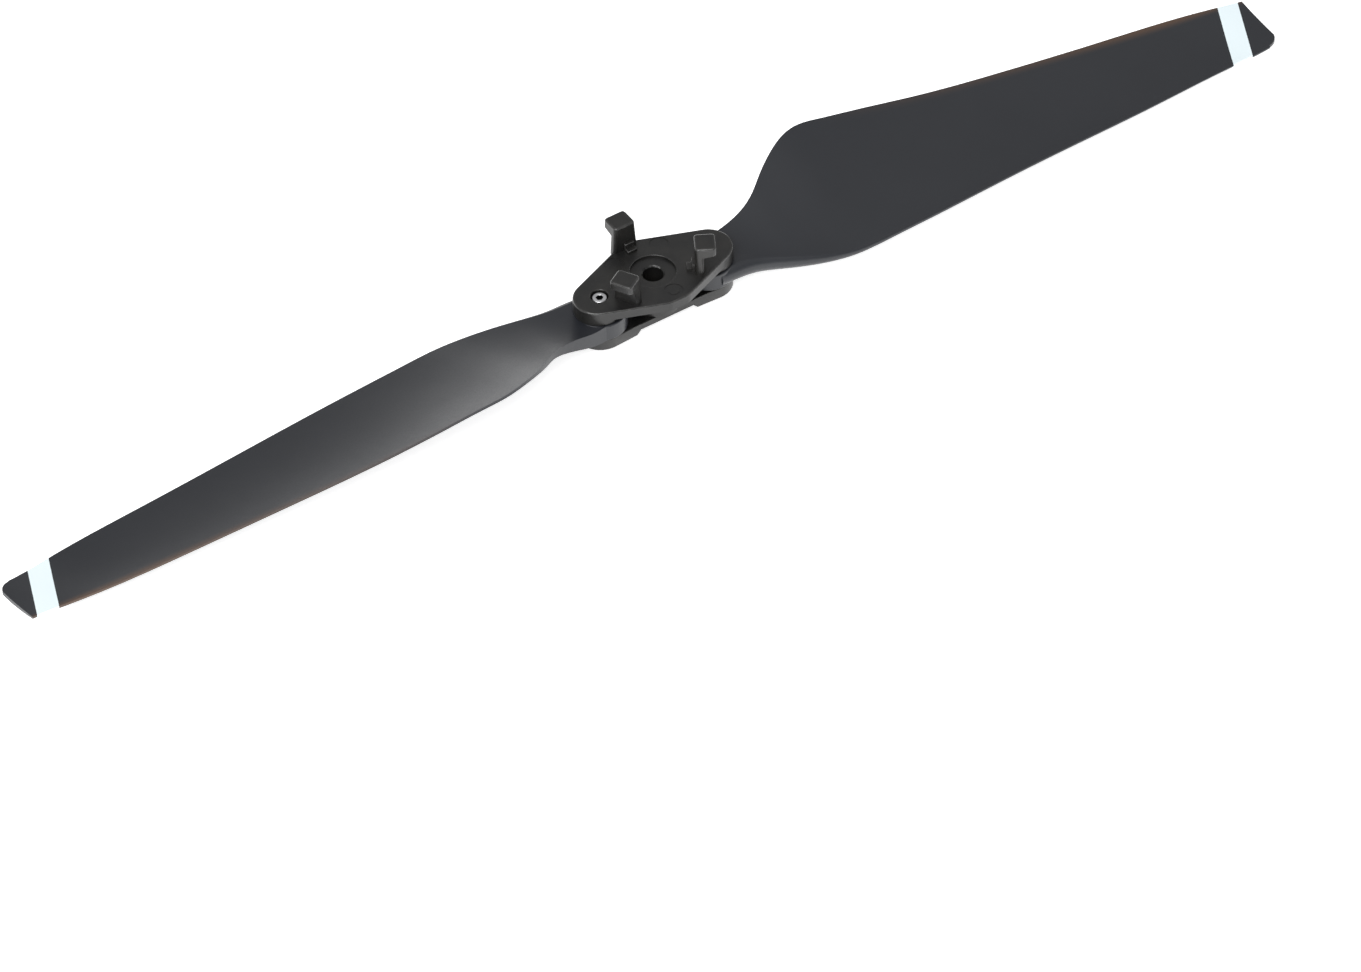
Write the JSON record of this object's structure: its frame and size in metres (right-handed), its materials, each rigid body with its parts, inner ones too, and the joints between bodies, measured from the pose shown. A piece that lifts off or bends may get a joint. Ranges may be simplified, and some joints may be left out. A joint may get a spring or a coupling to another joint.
{
  "type": "folding drone propeller",
  "caption": "Folding drone propeller with twisted hinged blades, white tip bands and a clawed quick-release hub.",
  "frame": {"origin": "on the bore axis, in the plane of the claw plate's flat face, which seats against the motor", "axes": "+Z out of the claws towards the motor, +X from the bore axis through the right blade's pivot and along that blade, +Y towards the trailing edge of the right blade"},
  "size_m": [0.2106, 0.0236, 0.012],
  "materials": {
    "hub_nylon": "black glass-filled nylon, fine moulded grain",
    "blade_nylon": "charcoal nylon, satin, with a white printed band near the tip",
    "screw_steel": "bright turned steel",
    "bush_steel": "ground steel",
    "washer_polymer": "natural acetal",
    "insert_brass": "turned brass"
  },
  "bodies": {
    "hub": {"claw_plate": "hub_nylon", "cover_plate": "hub_nylon", "pivot_screw_right": "screw_steel", "pivot_bush_right": "bush_steel", "upper_washer_right": "washer_polymer", "lower_washer_right": "washer_polymer", "threaded_insert_right": "insert_brass", "pivot_screw_left": "screw_steel", "pivot_bush_left": "bush_steel", "upper_washer_left": "washer_polymer", "lower_washer_left": "washer_polymer", "threaded_insert_left": "insert_brass"},
    "right_blade": {"blade_right": "blade_nylon"},
    "left_blade": {"blade_left": "blade_nylon"}
  },
  "joints": [
    {"name": "blade_right_fold", "type": "hinge", "parent": "hub", "child": "right_blade", "pos_m": [0.009, 0, -0.0037], "axis": [0, 0, 1], "range_deg": [-90, 90]},
    {"name": "blade_left_fold", "type": "hinge", "parent": "hub", "child": "left_blade", "pos_m": [-0.009, 0, -0.0037], "axis": [0, 0, 1], "range_deg": [-90, 90]}
  ]
}
